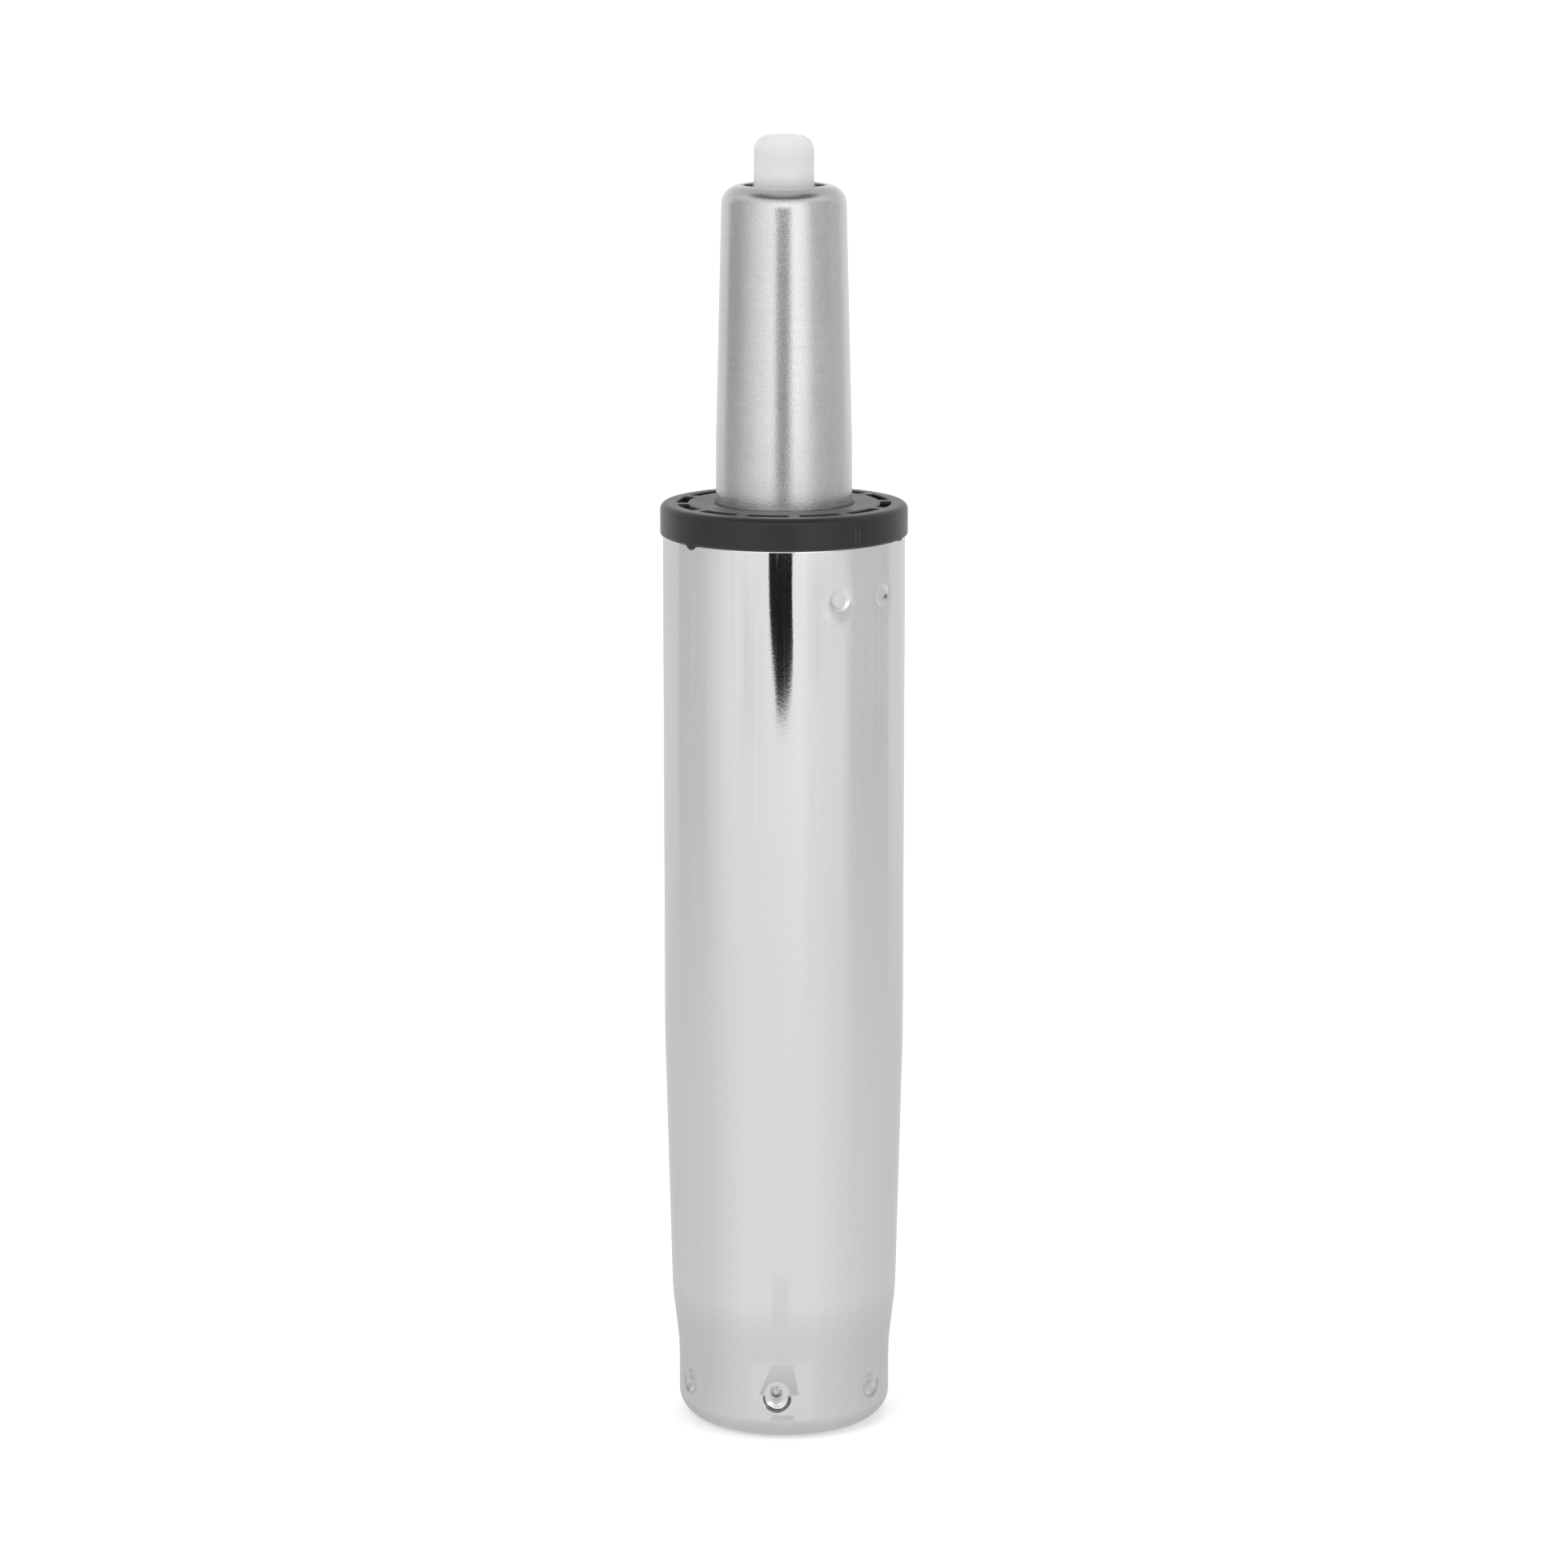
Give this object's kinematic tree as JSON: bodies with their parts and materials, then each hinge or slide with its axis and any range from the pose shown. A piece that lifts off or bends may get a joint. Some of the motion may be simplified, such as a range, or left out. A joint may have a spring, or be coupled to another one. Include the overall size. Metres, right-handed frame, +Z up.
{
  "type": "chair gas lift cylinder",
  "caption": "Height-adjustable swivel column for an office chair: chromed tapered tube, black slotted collar, steel gas spring stem and white release button, drawn fully lowered.",
  "frame": {"origin": "centre of the column's floor rim, on the column's axis", "axes": "+Z up the column towards the release button, -Y to the front, where one base plate stake faces the viewer; drawn fully lowered"},
  "size_m": [0.051, 0.051, 0.27],
  "materials": {
    "chromed_tube": "bright chrome plate on steel tube",
    "satin_steel": "satin steel, turned",
    "bush_plastic": "moulded, fine matt grain",
    "button_plastic": "natural white, slightly translucent",
    "zinc_steel": "bright zinc plate",
    "spring_steel": "oiled spring steel",
    "bearing_steel": "hardened and ground",
    "rod_steel": "ground and polished",
    "liner_steel": "cold drawn, smooth",
    "piston_aluminium": "turned",
    "guide_brass": "turned",
    "cage_plastic": "natural nylon",
    "valve_plastic": "black glass-filled nylon",
    "rubber": "matt"
  },
  "bodies": {
    "column": {"outer_tube": "chromed_tube", "guide_bush": "bush_plastic", "base_plate": "zinc_steel", "lower_race": "bearing_steel"},
    "bearing_cage": {"ball_cage": "cage_plastic", "bearing_balls": "bearing_steel"},
    "spindle": {"piston_rod": "rod_steel", "retaining_clip": "spring_steel", "clip_washer": "zinc_steel", "upper_race": "bearing_steel", "shoulder_washer": "zinc_steel", "rubber_buffer": "rubber", "buffer_washer": "zinc_steel", "piston": "piston_aluminium", "piston_seal": "rubber", "piston_washers": "zinc_steel", "piston_nut": "zinc_steel"},
    "gas_cylinder": {"pressure_tube": "satin_steel", "liner_tube": "liner_steel", "rod_guide": "guide_brass", "rod_seal": "rubber", "seal_washer": "zinc_steel", "centring_ring": "cage_plastic", "valve_body": "valve_plastic", "valve_o_rings": "rubber", "pin_seals": "rubber", "valve_spacer": "liner_steel", "closing_bush": "guide_brass"},
    "actuator": {"button": "button_plastic", "valve_pin": "rod_steel"}
  },
  "joints": [
    {"name": "swivel", "type": "hinge", "parent": "column", "child": "spindle", "pos_m": [0, 0, 0], "axis": [0, 0, 1], "continuous": true},
    {"name": "cage_roll", "type": "hinge", "parent": "column", "child": "bearing_cage", "pos_m": [0, 0, 0], "axis": [0, 0, 1], "continuous": true},
    {"name": "lift", "type": "slide", "parent": "spindle", "child": "gas_cylinder", "axis": [0, 0, 1], "range_m": [0, 0.085]},
    {"name": "release", "type": "slide", "parent": "gas_cylinder", "child": "actuator", "axis": [0, 0, -1], "range_m": [0, 0.004], "stiffness_N_per_m": 800, "springref_m": -0.006}
  ],
  "couplings": [
    {"joint": "cage_roll", "follows": "swivel", "ratio": 0.5}
  ]
}
